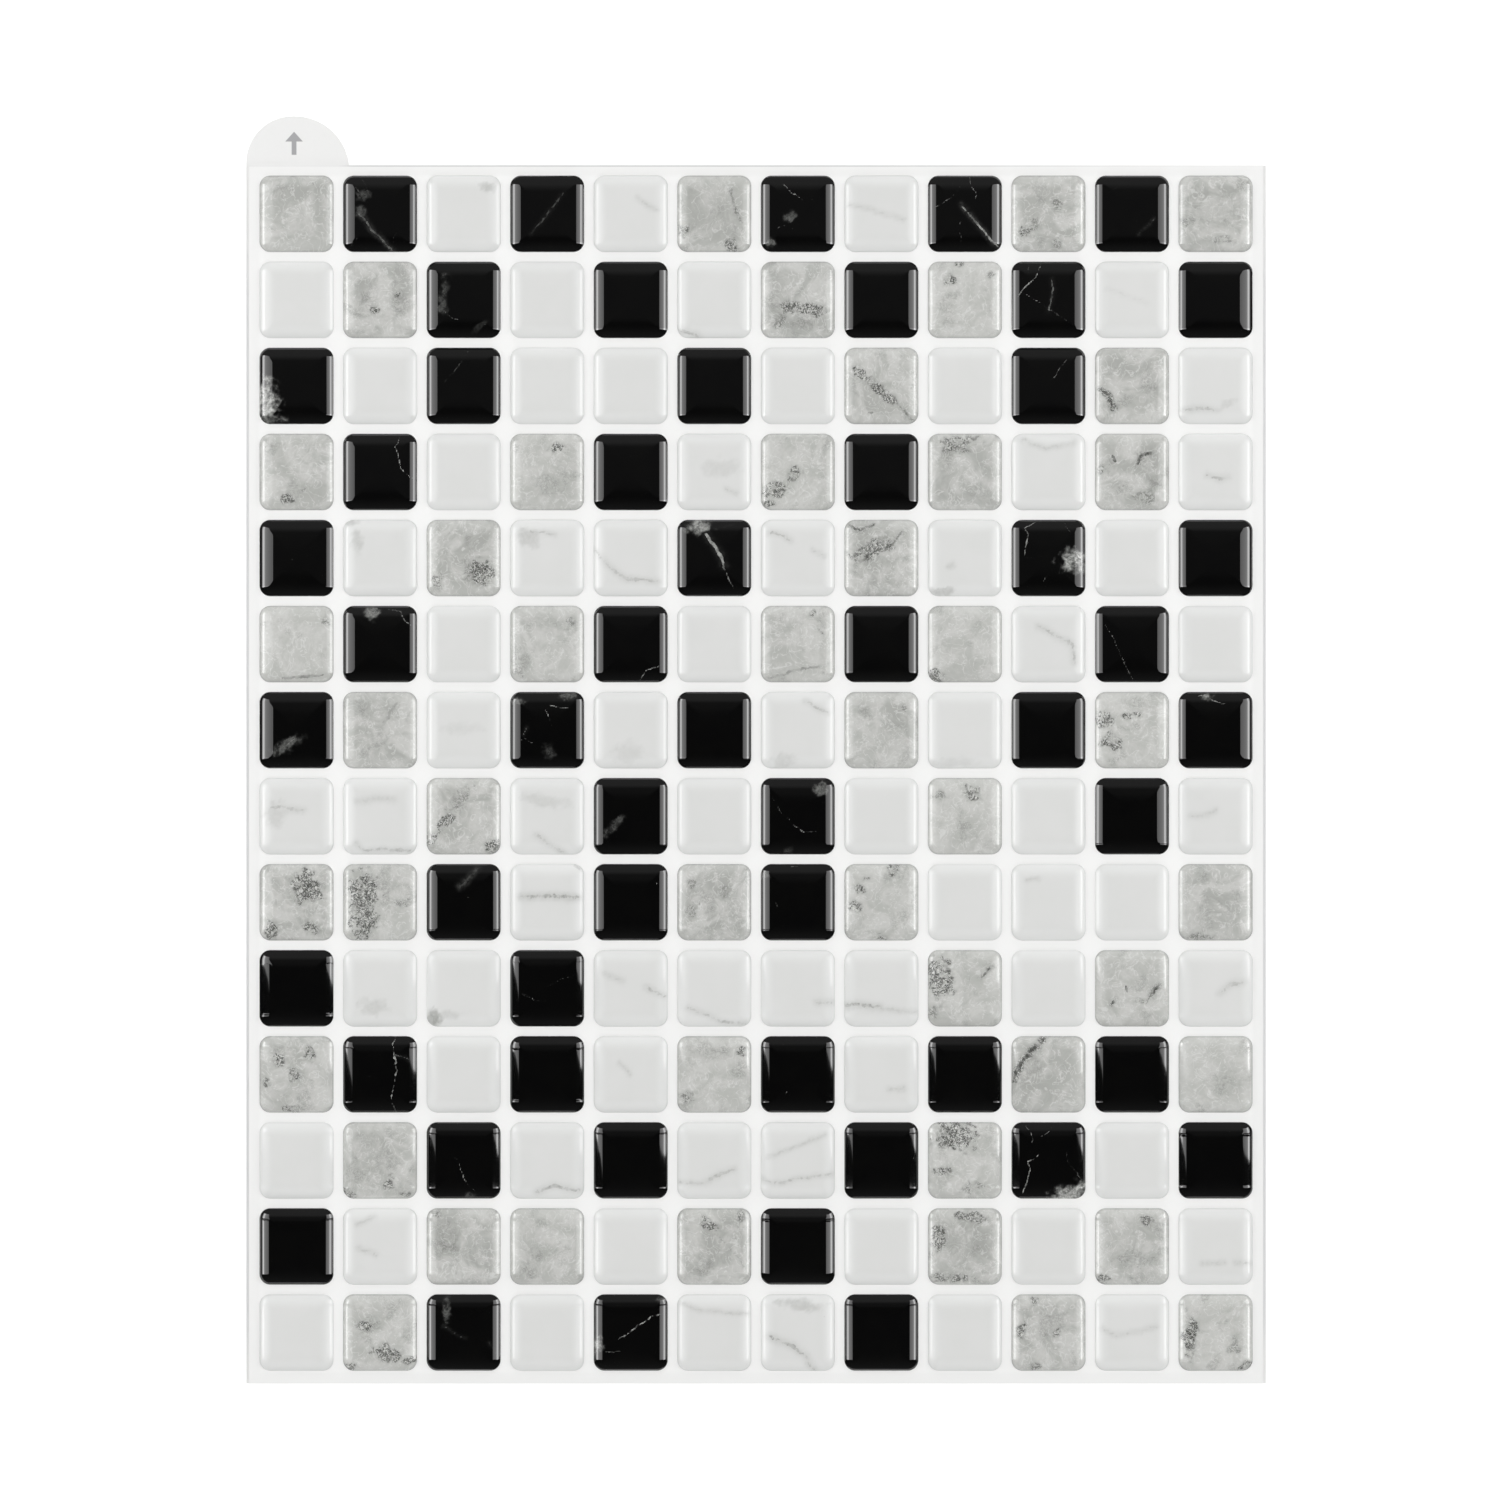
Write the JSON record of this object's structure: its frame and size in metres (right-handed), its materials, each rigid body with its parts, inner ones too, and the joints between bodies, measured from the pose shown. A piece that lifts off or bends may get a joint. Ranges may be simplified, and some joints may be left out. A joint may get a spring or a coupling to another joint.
{
  "type": "peel and stick backsplash tile",
  "caption": "Self-adhesive mosaic sheet: rows of domed marble-look gel squares on a white grout-coloured film, on a paper release liner with a peel tab.",
  "frame": {"origin": "middle of the sheet's rectangle, without the peel tab, on the release liner's back", "axes": "+X along the tile rows, +Y from the bottom row towards the edge with the peel tab, +Z out of the tiles' face"},
  "size_m": [0.2454, 0.3049, 0.002],
  "materials": {
    "black_gel": "high gloss clear gel over black marble print",
    "grey_gel": "high gloss clear gel over grey marble print",
    "white_gel": "high gloss clear gel over white marble print",
    "film": "satin white vinyl film",
    "liner": "smooth coated release paper"
  },
  "bodies": {
    "root": {"backing_film": "film", "release_liner": "liner", "row_01_black_tiles": "black_gel", "row_01_grey_tiles": "grey_gel", "row_01_white_tiles": "white_gel", "row_02_black_tiles": "black_gel", "row_02_grey_tiles": "grey_gel", "row_02_white_tiles": "white_gel", "row_03_black_tiles": "black_gel", "row_03_grey_tiles": "grey_gel", "row_03_white_tiles": "white_gel", "row_04_black_tiles": "black_gel", "row_04_grey_tiles": "grey_gel", "row_04_white_tiles": "white_gel", "row_05_black_tiles": "black_gel", "row_05_grey_tiles": "grey_gel", "row_05_white_tiles": "white_gel", "row_06_black_tiles": "black_gel", "row_06_grey_tiles": "grey_gel", "row_06_white_tiles": "white_gel", "row_07_black_tiles": "black_gel", "row_07_grey_tiles": "grey_gel", "row_07_white_tiles": "white_gel", "row_08_black_tiles": "black_gel", "row_08_grey_tiles": "grey_gel", "row_08_white_tiles": "white_gel", "row_09_black_tiles": "black_gel", "row_09_grey_tiles": "grey_gel", "row_09_white_tiles": "white_gel", "row_10_black_tiles": "black_gel", "row_10_grey_tiles": "grey_gel", "row_10_white_tiles": "white_gel", "row_11_black_tiles": "black_gel", "row_11_grey_tiles": "grey_gel", "row_11_white_tiles": "white_gel", "row_12_black_tiles": "black_gel", "row_12_grey_tiles": "grey_gel", "row_12_white_tiles": "white_gel", "row_13_black_tiles": "black_gel", "row_13_grey_tiles": "grey_gel", "row_13_white_tiles": "white_gel", "row_14_black_tiles": "black_gel", "row_14_grey_tiles": "grey_gel", "row_14_white_tiles": "white_gel"}
  },
  "joints": []
}
